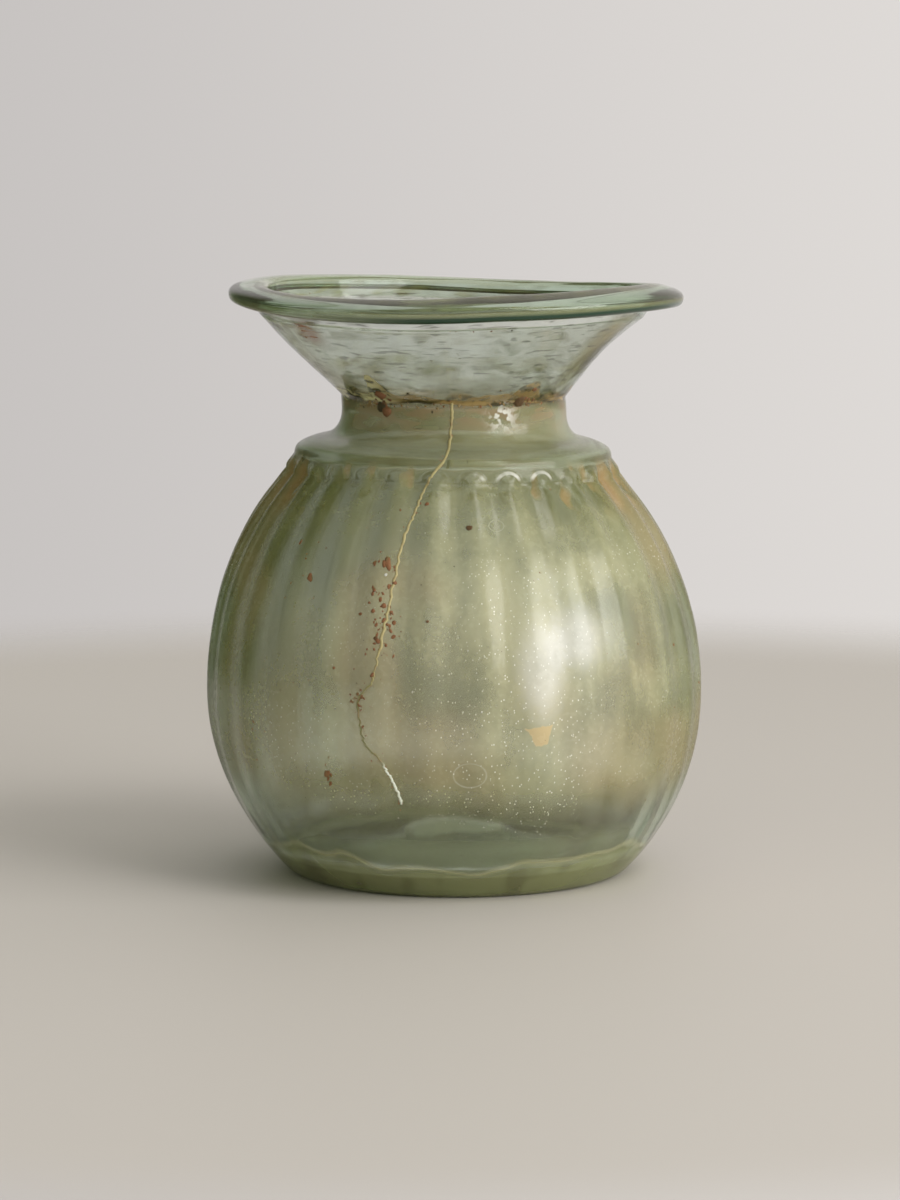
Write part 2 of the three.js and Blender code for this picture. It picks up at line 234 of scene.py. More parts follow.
class VaseFinish(bpy.types.PropertyGroup):
    """Colours and weathering of the glass."""

    glass_tint: colour("Glass tint", (0.50, 0.72, 0.53), "What the glass lets through")
    glass_depth: number("Glass depth", 135.0, "How strongly the glass takes light away, per metre")
    clear_roughness: share("Clear roughness", 0.05, "Roughness where the glass is clear")
    dull_roughness: share("Dull roughness", 0.15, "Roughness where the glass is dulled")
    milk: colour("Milk", (0.76, 0.73, 0.41), "Pale bloom on the body")
    olive: colour("Olive", (0.17, 0.18, 0.03), "Darker film between the pale patches")
    tan: colour("Tan", (0.46, 0.34, 0.17), "Warm stain on the body and neck")
    rust: colour("Rust", (0.34, 0.14, 0.055), "Red-brown dirt")
    crust: colour("Crust", (0.36, 0.25, 0.09), "Golden crust in the neck")
    deposit: colour("Deposit", (0.90, 0.95, 0.66), "Pale deposit on the floor, inside")
    moss: colour("Moss", (0.38, 0.41, 0.18), "Green film round the foot")
    # Painted shade: the dark green of the thick lip's lower edge
    lip_shade_green: colour("Deep green", (0.012, 0.050, 0.026), "Darkest glass, along the lip's lower edge")
    umber: colour("Umber", (0.060, 0.050, 0.015), "Darkest dirt and crust")
    # Colour of the painted highlights on the body and neck, and also of the real fine specks and cream earth
    pearl_and_highlight: colour("Pearl", (0.88, 0.88, 0.80), "Pearly patches and fine specks")
    film: share("Film", 0.47, "How much the film on the body hides, at most")
    skin: length("Skin", 0.015, "How far the film stands off the glass")
    crack_width: length("Crack width", 0.36, "Width of the filled crack")
    seed: count("Seed", 11, "Start of everything random")


class StageSettings(bpy.types.PropertyGroup):
    """Floor, light and camera."""

    floor_radius: length("Floor radius", 275, "Where the pale floor has faded out")
    floor_fade: length("Floor fade", 70, "Width of the fading edge")
    floor_colour: colour("Floor colour", (0.68, 0.64, 0.60), "Pale floor")
    back_left: colour("Back, left", (0.556, 0.532, 0.520), "Surroundings behind the vase, on the left")
    back_right: colour("Back, right", (0.745, 0.715, 0.690), "Surroundings behind the vase, on the right")
    side_tone: colour("Sides", (0.42, 0.50, 0.27), "Surroundings at the sides, where they are dark")
    side_left: number("Left side", 0.26, "Strength of the surroundings on the left")
    side_right: number("Right side", 1.0, "Strength of the surroundings on the right")
    overhead: number("Overhead", 1.0, "Strength of the surroundings above")
    near_side: number("Near side", 0.98, "Strength of the surroundings behind the camera")
    window: number("Window", 5.5, "Power of the window-like light, in watts")
    lamp: number("Lamp", 1.1, "Power of the small light above, in watts")
    fill: number("Fill", 0.35, "Power of the light from the left, in watts")
    elevation: angle("Elevation", 8.7, "How far the camera looks down")
    distance: length("Distance", 1248, "From the camera to the point that it looks at")
    lens: number("Lens", 240, "Focal length, in millimetres")


# Arithmetic on node sockets

def both_ways(operation):
    """The two methods of a Wire for an operation, with the wire first and with it second."""
    def first(wire, other):
        return wire.graph.math(operation, wire, other)

    def second(wire, other):
        return wire.graph.math(operation, other, wire)

    return first, second


class Wire:
    """An output socket that can be added, multiplied and so on."""

    def __init__(self, graph, socket):
        self.graph = graph
        self.socket = socket

    __add__, __radd__ = both_ways("ADD")
    __sub__, __rsub__ = both_ways("SUBTRACT")
    __mul__, __rmul__ = both_ways("MULTIPLY")
    __truediv__, __rtruediv__ = both_ways("DIVIDE")
    __pow__, __rpow__ = both_ways("POWER")


class Graph:
    """A node tree, with short calls that add nodes and links."""

    def __init__(self, tree):
        self.tree = tree

    def put(self, value, socket):
        if isinstance(value, Wire):
            value = value.socket
        if isinstance(value, bpy.types.NodeSocket):
            self.tree.links.new(value, socket)
        else:
            socket.default_value = value

    def node(self, kind, inputs=None, **settings):
        node = self.tree.nodes.new(kind)
        for name, value in settings.items():
            setattr(node, name, value)
        for key, value in (inputs or {}).items():
            self.put(value, node.inputs[key])
        return node

    def out(self, node, key=0):
        return Wire(self, node.outputs[key])

    def get(self, kind, inputs=None, key=0, **settings):
        """The output of a new node."""
        return self.out(self.node(kind, inputs, **settings), key)

    def math(self, operation, *values, clamp=False):
        return self.get("ShaderNodeMath", dict(enumerate(values)), operation=operation, use_clamp=clamp)

    def cos(self, value):
        return self.math("COSINE", value)

    def sin(self, value):
        return self.math("SINE", value)

    def clamped(self, value):
        return self.math("ADD", value, 0.0, clamp=True)

    def step(self, value, low, high):
        """Rises smoothly from 0 at low to 1 at high, or falls where low is the greater."""
        inputs = {"Value": value, "From Min": low, "From Max": high}
        if not isinstance(low, Wire) and low > high:
            inputs = {"Value": value, "From Min": high, "From Max": low, "To Min": 1.0, "To Max": 0.0}
        return self.get("ShaderNodeMapRange", inputs, interpolation_type="SMOOTHSTEP")

    def vector(self, x, y, z):
        return self.get("ShaderNodeCombineXYZ", {0: x, 1: y, 2: z})

    def parts(self, vector):
        node = self.node("ShaderNodeSeparateXYZ", {0: vector})
        return [self.out(node, axis) for axis in range(3)]

    def noise(self, vector, size, detail=2.0, rough=0.5, seed=0.0):
        """Soft random values from 0 to 1, with features of about the given size."""
        inputs = {"Vector": vector, "W": seed, "Scale": 1 / size, "Detail": detail, "Roughness": rough}
        return self.get("ShaderNodeTexNoise", inputs, noise_dimensions="4D")

    def attribute(self, name, kind="FLOAT"):
        """A value that the shape carries."""
        return self.get("GeometryNodeInputNamedAttribute", {"Name": name}, data_type=kind)

    def kept(self, shape, name, value):
        """The shape with a value stored on its points."""
        inputs = {"Geometry": shape, "Name": name, "Value": value}
        return self.get("GeometryNodeStoreNamedAttribute", inputs)

    def vectors(self, operation, *values, key=0):
        """A vector operation; a number goes in as the scale."""
        inputs = {3 if operation == "SCALE" and i else i: value for i, value in enumerate(values)}
        return self.get("ShaderNodeVectorMath", inputs, operation=operation, key=key)

    def pattern(self, vector, size, detail=1.0, rough=0.5, seed=0.0):
        """Soft random values for a surface, with the pattern moved aside by the seed."""
        moved = self.vectors("ADD", vector, (seed, seed * 0.7, seed * 0.3))
        inputs = {"Vector": moved, "Scale": 1 / size, "Detail": detail, "Roughness": rough}
        return self.get("ShaderNodeTexNoise", inputs, noise_dimensions="3D")

    def mix(self, factor, first, second):
        """A blend of two colours, each a wire or red, green and blue."""
        first, second = (tone if isinstance(tone, Wire) else (*tone, 1) for tone in (first, second))
        return self.get("ShaderNodeMix", {0: factor, 6: first, 7: second}, 2, data_type="RGBA")


def new_tree(name, kind, inputs, outputs):
    """A node group with named sockets; inputs are (name, socket type, default)."""
    tree = bpy.data.node_groups.new(name, kind)
    for label, socket_type, default in inputs:
        socket = tree.interface.new_socket(label, in_out="INPUT", socket_type=socket_type)
        if default is not None:
            socket.default_value = default
    for label, socket_type in outputs:
        tree.interface.new_socket(label, in_out="OUTPUT", socket_type=socket_type)
    graph = Graph(tree)
    given = graph.node("NodeGroupInput")
    result = graph.node("NodeGroupOutput")
    return graph, lambda key: graph.out(given, key), result


# Profile of the vase

class Profile:
    """The vase's section: up the outside, round the lip and down the inside to the floor."""

    def __init__(self, form, ribs, hand):
        self.form = f = form
        self.ribs = ribs
        self.hand = hand
        self.groove_z = self.oval_height(f.body_radius, f.body_rise, f.collar_radius)
        self.collar_z = self.groove_z + f.collar_band
        self.corner_z = self.collar_z + f.collar_rise
        self.corner_radius = f.collar_radius + f.collar_flare
        self.crease_z = self.corner_z + f.collar_slope
        self.crease_radius = f.neck_radius + f.crease_width
        self.rib_top = self.collar_z + ribs.reach
        self.waist_z = self.crease_z + f.neck_flare
        self.funnel_z = self.waist_z + f.neck_waist
        self.lip_z = self.funnel_z + f.funnel_height
        self.lip_centre = f.lip_radius - f.lip_width / 2
        self.slope = (f.lip_radius - f.lip_overhang - f.neck_radius) / f.funnel_height
        self.bore = f.neck_radius - f.neck_wall

    def oval(self, radius, drop, rise, z):
        rel = (z - self.form.equator) / (drop if z < self.form.equator else rise)
        return radius * math.sqrt(max(0.0, 1 - rel * rel))

    def oval_height(self, radius, rise, r):
        return self.form.equator + rise * math.sqrt(max(0.0, 1 - (r / radius) ** 2))

    def body(self, z):
        """Outer radius of the body over the rib crests, at height z."""
        return self.oval(self.form.body_radius, self.form.body_drop, self.form.body_rise, z)

    def cone(self, z):
        """Outer radius of the funnel at height z."""
        up = (z - self.funnel_z) / self.form.funnel_height
        sag = self.form.funnel_sag * math.sin(math.pi * up)
        return self.form.neck_radius + self.slope * (z - self.funnel_z) - sag

    def rib_depth(self, z):
        """Crest-to-valley depth of the ribs at height z; it runs out over the collar's corner."""
        tail = smooth(z, self.form.heel, self.form.heel + self.ribs.tail)
        rise = smooth(z, self.form.heel, self.groove_z)
        depth = self.ribs.depth_low + (self.ribs.depth - self.ribs.depth_low) * rise
        return depth * tail * (1 - smooth(z, self.rib_top - self.ribs.head / 4, self.corner_z))

    def bead(self, z):
        """Extra swelling of a rib at its head."""
        away = (self.rib_top - self.ribs.head - z) / (0.6 * self.ribs.head)
        return self.ribs.bead * math.exp(-away * away)

    def kick_height(self, r):
        inner = self.form.standing_radius - self.form.standing_width
        return self.form.kick * (1 + math.cos(math.pi * min(1.0, r / inner))) / 2

    def shift(self, z):
        """Sideways shift of the hand-worked axis at height z."""
        h = self.hand
        levels = (
            (0.0, h.base_shift),
            (self.form.equator, 0.0),
            (self.groove_z, h.collar_shift),
            (self.waist_z, h.neck_shift),
            ((self.funnel_z + self.lip_z) / 2, h.funnel_shift),
            (self.lip_z, h.mouth_shift),
        )
        value = h.base_shift
        for (below, before), (level, after) in zip(levels, levels[1:]):
            value += (after - before) * smooth(z, below, level)
        return value

    def outer(self):
        """Rings of the outer surface, from the middle of the underside to the lip's underside."""
        f = self.form
        inner = f.standing_radius - f.standing_width
        rings = [ring(t * inner, self.kick_height(t * inner)) for t in spread(0, 1, 22, end=False)]
        rings += [ring(r, 0.0) for r in spread(inner, f.standing_radius, 4)]
        top = self.body(f.heel)
        corner = max(f.standing_radius, (top + f.standing_radius) / 2)
        for t in spread(0.15, 0.9, 6):
            r = (1 - t) ** 2 * f.standing_radius + 2 * t * (1 - t) * corner + t * t * top
            rings.append(ring(r, t * t * f.heel))
        low = math.asin((f.equator - f.heel) / f.body_drop)
        high = math.asin((self.groove_z - f.equator) / f.body_rise)
        heights = [f.equator - f.body_drop * math.sin(a) for a in spread(low, 0, 34, end=False)]
        heights += [f.equator + f.body_rise * math.sin(a) for a in spread(0, high, 62, end=False)]
        rings += [ring(self.body(z), z, rib=self.rib_depth(z), bead=self.bead(z), wave=1) for z in heights]
        foot = (f.collar_radius, self.collar_z)
        corner = (self.corner_radius, self.corner_z)
        crease = (self.crease_radius, self.crease_z)
        slope = f.collar_slope / (self.corner_radius - self.crease_radius)
        neck_corner = (f.neck_radius, self.crease_z + slope * f.crease_width)
        waist = (f.neck_radius, self.waist_z)
        turn = [(f.collar_radius, self.groove_z)]
        turn += [rounded(foot, corner, crease, t) for t in spread(0, 1, 24)]
        turn += [rounded(crease, neck_corner, waist, t) for t in spread(0, 1, 12, start=False)]
        rings += [ring(r, z, rib=self.rib_depth(z), bead=self.bead(z), wave=1) for r, z in turn]
        rings += [ring(f.neck_radius, z, wave=1) for z in spread(self.waist_z, self.funnel_z, 4, start=False)]
        span = (self.funnel_z + 0.04 * f.funnel_height, self.funnel_z + 0.82 * f.funnel_height)
        rings += [ring(self.cone(z), z, mouth=self.mouth(z), wave=1) for z in spread(*span, 24)]
        return rings

    def lip(self):
        """Rings round the lip's section."""
        f = self.form
        rings = []
        for a in spread(math.radians(-105), math.radians(172), 34):
            out = f.lip_width / 2 * fuller(math.cos(a), f.lip_fullness)
            up = f.lip_thickness / 2 * fuller(math.sin(a), f.lip_fullness)
            under = smooth(a, -1.5, -1.0) * (1 - smooth(a, -0.1, 0.35))
            crown = smooth(a, 1.2, 1.9)
            inside = smooth(a, 2.2, 2.9)
            zones = {"mouth": 1, "lip": 1, "under": under, "crown": crown, "inside": inside}
            rings.append(ring(self.lip_centre, self.lip_z, out=out, up=up, **zones))
        return rings

    def mouth(self, z):
        """Share of the mouth's unevenness at height z."""
        return smooth(z, self.funnel_z, self.lip_z)

    def inner(self):
        """Rings of the inner surface, from the lip down to the middle of the floor."""
        f = self.form
        level_wall = f.funnel_wall * math.hypot(1, self.slope)
        span = (self.funnel_z + 0.86 * f.funnel_height, self.funnel_z + 0.02 * f.funnel_height)
        rings = []
        for z in spread(*span, 24):
            r = max(self.bore, self.cone(z) - level_wall)
            rings.append(ring(r, z, mouth=self.mouth(z), wave=1, inside=1))
        radius = f.body_radius - f.body_wall
        rise = f.body_rise - f.body_wall
        drop = f.body_drop - f.body_wall
        collar = f.collar_radius - f.body_wall
        groove = self.oval_height(radius, rise, collar)
        crease = (min(self.crease_radius, collar), self.crease_z - f.body_wall)
        bend = (self.bore, self.crease_z - f.neck_wall / 2)
        turn = [rounded((self.bore, self.waist_z), bend, crease, t) for t in spread(0, 1, 9, end=False)]
        corner = (collar, self.corner_z - f.body_wall)
        turn += [rounded(crease, corner, (collar, groove), t) for t in spread(0, 1, 11)]
        rings += [ring(r, z, wave=1, inside=1) for r, z in turn]
        floor_edge = f.floor + f.floor_fillet
        top = math.asin((groove - f.equator) / rise)
        low = math.asin(min(1.0, (f.equator - floor_edge) / drop))
        heights = [f.equator + rise * math.sin(a) for a in spread(top, 0, 32, start=False)]
        heights += [f.equator - drop * math.sin(a) for a in spread(0, low, 20, start=False)]
        for z in heights:
            rib = self.rib_depth(z) * self.ribs.inside
            rings.append(ring(self.oval(radius, drop, rise, z), z, rib=rib, wave=1, inside=1))
        wall = radius * math.cos(low)
        edge = wall - f.floor_fillet
        foot = self.kick_height(edge) + f.floor
        for t in spread(0, QUARTER, 8, start=False):
            r = edge + (wall - edge) * math.cos(t)
            rings.append(ring(r, floor_edge + (foot - floor_edge) * math.sin(t), inside=1))
        for r in spread(edge, 0, 16, start=False):
            rings.append(ring(r, self.kick_height(r) + f.floor, inside=1))
        return rings

    def rings(self):
        return self.outer() + self.lip() + self.inner()


RING_KEYS = ("rib", "bead", "mouth", "lip", "out", "up", "wave", "inside", "under", "crown", "shift")


def ring(r, z, **values):
    """One level of the turned wall."""
    return {"r": r, "z": z, **values}


def rounded(first, corner, last, t):
    """Point of a curve that leaves the first point towards the corner and reaches the last one from it."""
    return [(1 - t) ** 2 * a + 2 * t * (1 - t) * b + t * t * c for a, b, c in zip(first, corner, last)]


def fuller(value, fullness):
    """Turns a cosine or sine into that of a squarer oval."""
    return math.copysign(abs(value) ** (2 / fullness), value)


def smooth(value, low, high):
    """Rises smoothly from 0 at low to 1 at high."""
    t = min(1.0, max(0.0, (value - low) / (high - low)))
    return t * t * (3 - 2 * t)


def spread(first, last, steps, start=True, end=True):
    """Evenly spaced numbers from first to last, with or without the two ends."""
    whole = steps - int(end) + int(not start)
    return [first + (last - first) * (i + int(not start)) / whole for i in range(steps)]


def profile_mesh(name, profile, rings):
    """A line of points that carries the rings' values as attributes."""
    mesh = bpy.data.meshes.new(name)
    points = [(item["r"], 0.0, item["z"]) for item in rings]
    mesh.from_pydata(points, [(i, i + 1) for i in range(len(points) - 1)], [])
    for key in RING_KEYS:
        values = [profile.shift(item["z"]) if key == "shift" else item.get(key, 0.0) for item in rings]
        mesh.attributes.new(key, "FLOAT", "POINT").data.foreach_set("value", values)
    return mesh


# Turning the profile into a wall

SHAPE_OUT = [("Geometry", "NodeSocketGeometry")]


def wall_tree():
    """Turns a profile round the axis, with ribs, a rolled lip and the unevenness of hand work."""
    names = ("Rib start", "Rib sharpness", "Rib top", "Rib head", "Lean", "Lean side", "Lean from", "Lean to",
             "Saddle", "Saddle side", "Lip roll", "Lip roll swing", "Heavy side", "Lip leap", "Lip swell",
             "Lip reach", "Waviness", "Wave size", "Ripple", "Ripple size", "Skin", "Seed")
    inputs = [("Profile", "NodeSocketGeometry", None), ("Sides", "NodeSocketInt", WALL_SIDES)]
    inputs += [("Ribs", "NodeSocketInt", 28)]
    inputs += [(name, "NodeSocketFloat", 0.0) for name in names] + [("Material", "NodeSocketMaterial", None)]
    g, given, result = new_tree("Turned wall", "GeometryNodeTree", inputs, SHAPE_OUT)
    sides = given("Sides")
    levels = g.get("GeometryNodeAttributeDomainSize", {0: given("Profile")})
    grid = g.get("GeometryNodeMeshGrid", {"Vertices X": sides + 1, "Vertices Y": levels})
    index = g.get("GeometryNodeInputIndex")
    column = g.math("FLOOR", (index + 0.5) / levels)
    row = index - column * levels

    def sampled(kind, value):
        node = g.node("GeometryNodeSampleIndex", data_type=kind)
        g.put(given("Profile"), node.inputs["Geometry"])
        g.put(value, node.inputs["Value"])
        g.put(row, node.inputs["Index"])
        return g.out(node)

    def carried(key):
        return sampled("FLOAT", g.attribute(key))

    place = g.parts(sampled("FLOAT_VECTOR", g.get("GeometryNodeInputPosition")))
    azimuth = given("Rib start") + column / sides * TURN
    wave = carried("wave")
    inside = carried("inside")
    lip = carried("lip")
    out = carried("out")
    heavy = g.cos(azimuth - given("Heavy side"))
    up = carried("up") * (heavy * given("Lip leap") + 1)
    roll = given("Lip roll") + given("Lip roll swing") * heavy
    across = g.math("ARCCOSINE", g.cos((azimuth - given("Rib start")) * given("Ribs"))) / math.pi
    beyond = g.math("MAXIMUM", (place[2] - given("Rib top")) / given("Rib head") + 1, 0.0)
    away = g.math("MINIMUM", g.math("SQRT", across * across + beyond * beyond), 1.0)
    crest = ((g.cos(away * math.pi) + 1) / 2) ** given("Rib sharpness")
    spot = g.vector(g.cos(azimuth) * place[0], g.sin(azimuth) * place[0], place[2] + inside * 0.4)
    slow = g.noise(spot, given("Wave size"), 1.0, 0.4, given("Seed")) - 0.5
    quick = g.noise(spot, given("Ripple size"), 2.0, 0.5, given("Seed") + 3) - 0.5
    press = g.noise(spot, given("Wave size"), 1.0, 0.4, given("Seed") + 7) * 0.9 + 0.55
    radius = place[0] - carried("rib") * (1 - crest) * press + carried("bead") * crest ** 2 * press
    radius = radius + wave * (slow * given("Waviness") * 2 + quick * given("Ripple") * 2)
    radius = radius + lip * (out * g.cos(roll) + up * g.sin(roll) + given("Lip swell") * g.cos(azimuth))
    height = place[2] + lip * (up * g.cos(roll) + (given("Lip reach") - out) * g.sin(roll))
    leaning = g.math("TANGENT", given("Lean")) * g.step(place[2], given("Lean from"), given("Lean to"))
    height = height + leaning * radius * g.cos(azimuth - given("Lean side"))
    saddle = given("Saddle") * g.cos((azimuth - given("Saddle side")) * 2)
    height = height + carried("mouth") * (saddle + slow * given("Waviness") * 2)
    position = g.vector(radius * g.cos(azimuth) + carried("shift"), radius * g.sin(azimuth), height)

    shape = grid
    kept = (("inside", inside), ("crest", crest * g.clamped(carried("rib") * 2500)), ("level", place[2]),
            ("under", carried("under")), ("crown", carried("crown")))
    for key, value in kept:
        shape = g.kept(shape, key, value)
    shape = g.get("GeometryNodeSetPosition", {"Geometry": shape, "Position": position})
    shape = g.get("GeometryNodeMergeByDistance", {"Geometry": shape, "Distance": 1e-6})
    normal = g.get("GeometryNodeInputNormal")
    offset = g.vectors("SCALE", normal, given("Skin"))
    shape = g.get("GeometryNodeSetPosition", {"Geometry": shape, "Offset": offset})
    finish(g, shape, given("Material"), result)
    return g.tree


def finish(g, shape, material, result):
    """Ends a tree: smooth faces, no instances, one material."""
    shape = g.get("GeometryNodeSetShadeSmooth", {"Geometry": shape})
    shape = g.get("GeometryNodeRealizeInstances", {"Geometry": shape})
    shape = g.get("GeometryNodeSetMaterial", {"Geometry": shape, "Material": material})
    g.put(shape, result.inputs[0])


def grown(name, source, tree, **values):
    """Runs a node tree on a mesh and keeps the result as a plain mesh object."""
    piece = bpy.data.objects.new(name, source)
    bpy.context.scene.collection.objects.link(piece)
    modifier = piece.modifiers.new(tree.name, "NODES")
    modifier.node_group = tree
    for item in tree.interface.items_tree:
        key = item.name.lower().replace(" ", "_")
        if item.item_type == "SOCKET" and item.in_out == "INPUT" and key in values:
            modifier[item.identifier] = values[key]
    mesh = bpy.data.meshes.new_from_object(piece.evaluated_get(bpy.context.evaluated_depsgraph_get()))
    piece.modifiers.clear()
    piece.data = mesh
    mesh.name = name
    return piece


def facing_out(mesh):
    """Turns a closed mesh's faces outwards."""
    work = bmesh.new()
    work.from_mesh(mesh)
    bmesh.ops.recalc_face_normals(work, faces=work.faces)
    if work.calc_volume(signed=True) < 0:
        bmesh.ops.reverse_faces(work, faces=work.faces)
    work.to_mesh(mesh)
    work.free()


# Materials

def new_material(name):
    """A material with an empty tree, its shader and its output."""
    material = bpy.data.materials.new(name)
    material.use_nodes = True
    material.node_tree.nodes.clear()
    g = Graph(material.node_tree)
    shader = g.node("ShaderNodeBsdfPrincipled")
    output = g.node("ShaderNodeOutputMaterial", {"Surface": g.out(shader)})
    return material, g, shader, output


FILM_VALUES = ("Crest", "Inside", "Level", "Under", "Crown")


def film_group(v):
    """The film on the glass: its colour, how much it hides, how dull it makes the glass, and its grain. Its
    colour also holds painted light, painted highlights and glints, and a painted dark band under the lip.
    """
    inputs = [("Position", "NodeSocketVector", None)]
    inputs += [(name, "NodeSocketFloat", 0.0) for name in FILM_VALUES]
    outputs = [("Colour", "NodeSocketColor"), ("Cover", "NodeSocketFloat"), ("Dull", "NodeSocketFloat"),
               ("Grain", "NodeSocketFloat")]
    g, given, result = new_tree("Film", "ShaderNodeTree", inputs, outputs)
    x, y, z = g.parts(given("Position"))
    level = given("Level")
    inside = given("Inside")
    outside = 1 - inside
    spot = g.vector(x, y, z + inside * 0.5)
    tall = g.vector(x, y, z * 0.2 + inside * 0.5)
    flat = g.vector(x * 0.3, y * 0.3, z + inside * 0.5)
    turn = g.math("ARCTAN2", x, y * -1) * (180 / math.pi)
    near = g.step(y, 0.008, -0.004)
    # Painted light: lit marks where the window light falls, on the near side from the front to the right,
    # strongest at mid height of the body
    lit = g.step(turn, -52, 2) * g.step(turn, 76, 38) * near * (g.step(z, 0.014, 0.036) * 0.7 + 0.3)
    lit = lit * (g.step(level, 0.062, 0.040) * 0.8 + 0.2)

    # Zones by height
    body = g.step(level, *BODY_END)
    neck = g.step(level, *NECK_END) * (1 - body)
    funnel = g.step(level, *FUNNEL_START) * g.step(level, *FUNNEL_END)

    # Patterns
    clouds = g.pattern(spot, CLOUD_SIZE, 2.0, 0.6, 1.0)
    streaks = g.pattern(tall, STREAK_SIZE, 1.0, 0.6, 2.0)
    grain = g.pattern(spot, GRAIN_SIZE, 1.0, 0.6, 3.0)
    warm = g.pattern(spot, STAIN_SIZE, 1.0, 0.6, 5.0)
    ribbons = g.pattern(flat, RIBBON_SIZE, 1.0, 0.7, 6.0)

    spread_out = g.vector(turn, z, 0.0)
    ragged_edge = grain * 0.5 + clouds * 0.6 - 0.55

    def oval(degrees, height, across, up):
        """How far out a place lies from the middle of an oval, with 1 on its line."""
        scale = (math.radians(1) * 33 / across, 1000 / up, 0)
        middle = (-degrees * scale[0], -height / up, 0)
        return g.vectors("LENGTH", g.vectors("MULTIPLY_ADD", spread_out, scale, middle), key="Value")

    def patch(degrees, height, across, up, soft=0.45):
        """An oval patch on the near side, with a ragged edge; sizes in millimetres."""
        return g.step(oval(degrees, height, across, up) + ragged_edge, 1.0 + soft, 1.0 - soft)

    def patches(marks):
        """Several patches, each with its own strength."""
        total = 0.0
        for *place, strength in marks:
            total = patch(*place) * strength + total
        return total

    def patch_ring(degrees, height, across, up):
        """The thin outline of an oval mark on the near side."""
        away = g.math("ABSOLUTE", oval(degrees, height, across, up) - 1) + grain * 0.12
        return g.step(away, 0.15, 0.05) * near

    # Body: olive film with pale, streaky clouds, painted light that makes the film paler and thinner where
    # lit, warm stains, and painted highlights
    # pale holds the real pale clouds of bloom, plus painted light where lit
    pale = g.step(clouds * 0.75 + streaks * 0.3 + grain * 0.15, 0.38, 0.78) * (0.25 + lit * 0.5) + lit * 0.3
    tone = g.mix(pale, v.olive, v.milk)
    stain = g.clamped(g.step(warm, 0.46, 0.70) * 0.8 + patches(WARM_STAINS))
    tone = g.mix(stain * 0.6, tone, v.tan)
    heads = g.step(level, *HEADS_START) * g.step(level, *HEADS_END) * (1 - given("Crest"))
    rusty = g.clamped(heads * g.step(warm + (streaks - 0.5) * 0.9, 0.50, 0.64) * 1.3)
    tone = g.mix(rusty * 0.38, tone, v.rust)
    # Painted highlights: pearly film patches where the window light reflects on the body
    pearl_and_highlight = g.clamped(patches(HIGHLIGHT_PATCHES)) * (0.7 + grain * 0.4)
    across = (turn - FLAKE_DEG) * FLAKE_SCALE
    up = z * 1000 - FLAKE_HEIGHT
    flake = g.step(g.math("ABSOLUTE", across + up * 0.15) - up * 0.35 + grain * 0.9, 1.95, 1.7)
    # Painted glints: pearly arcs round the rib heads, where the light catches them
    heads_lit = g.step(g.math("ABSOLUTE", given("Crest") - 0.3), 0.2, 0.05) * g.step(level, 0.0630, 0.0642)
    # Painted highlight on the neck, broken by the grain
    neck_highlight = patch(*NECK_HIGHLIGHT) * g.step(grain, 0.48, 0.60)
    first_ring, second_ring = (patch_ring(*place) for place in RING_MARKS)
    rings = g.clamped(first_ring + second_ring) * 0.35
    # Adds the real ring marks and the painted glints on the rib heads to the painted highlights
    pearl_and_highlight = g.clamped(pearl_and_highlight + rings + heads_lit * patch(*HEAD_GLINT_PATCH) * (grain + 0.4))
    flake = flake * g.step(g.math("ABSOLUTE", up - across * 0.1) + grain * 0.8, 2.0, 1.75)
    dots = g.get("ShaderNodeTexVoronoi", {"Vector": g.vector(x, y, z * 0.7), "Scale": 1 / SPECK_SIZE})
    crowded = g.clamped(patch(12, 26, 14, 22, 0.6) * 0.8 + g.step(clouds, 0.52, 0.66) * 0.7)
    speck = g.step(dots, 0.22, 0.08) * crowded * outside * body
    # The painted highlights and the real specks take the pearl colour
    tone = g.mix(g.clamped(pearl_and_highlight + speck), tone, v.pearl_and_highlight)
    tone = g.mix(flake, tone, FLAKE_TONE)
    thick = pale * 0.35 + 0.65 + stain * 0.2 + rusty * 0.5
    low = g.step(level, *FOOT_FADE) * 0.8 + 0.2
    # Painted light: the film is thinner where lit
    thick = thick * low * (1.55 - lit * 0.55) * (g.step(level, 0.040, 0.060) * 0.15 + 1)
    spots = (pearl_and_highlight * 0.36 + flake * 0.42) * outside + speck * 0.6
    cover = body * outside * g.clamped(thick * v.film + spots)

    # Neck: olive film, brown towards the junction, where a gold line and a ragged crust lie, and a painted
    # highlight on the right
    ragged = g.pattern(g.vector(x, y, inside * 0.5), RAGGED_SIZE, 1.0, 0.6, 12.0)
    wavy = level - JUNCTION + (ragged - 0.5) * 0.0022
    peak = wavy - (ragged - 0.36) * 0.0095 - patches(CRUST_PEAKS)
    crust = g.step(peak, 0.0003, -0.0003) * g.step(wavy, -0.0004, 0.0002) * (near * 0.8 + 0.2)
    line = g.step(g.math("ABSOLUTE", wavy), 0.00050, 0.00012) * (near * 0.75 + 0.25)
    brown = g.step(level + (warm - 0.5) * 0.004, 0.0675, 0.0728) * g.step(ribbons, 0.35, 0.6)
    neck_tone = g.mix(0.28 + clouds * 0.5, v.olive, v.milk)
    neck_tone = g.mix(brown, neck_tone, v.tan)
    knots = g.step(grain * 0.5 + ribbons * 0.5, 0.38, 0.54)
    crust_tone = g.mix(knots, v.umber, v.crust)
    crust_tone = g.mix(g.step(warm, 0.55, 0.65) * knots, crust_tone, v.milk)
    neck_tone = g.mix(g.clamped(crust + line), neck_tone, crust_tone)
    neck_tone = g.mix(line * g.step(ribbons, 0.62, 0.42), neck_tone, v.umber)
    neck_tone = g.mix(neck_highlight, neck_tone, v.pearl_and_highlight)
    neck_cover = neck * (0.43 + brown * 0.16) + crust * 0.6 + line * 0.4 + neck_highlight * neck * 0.4
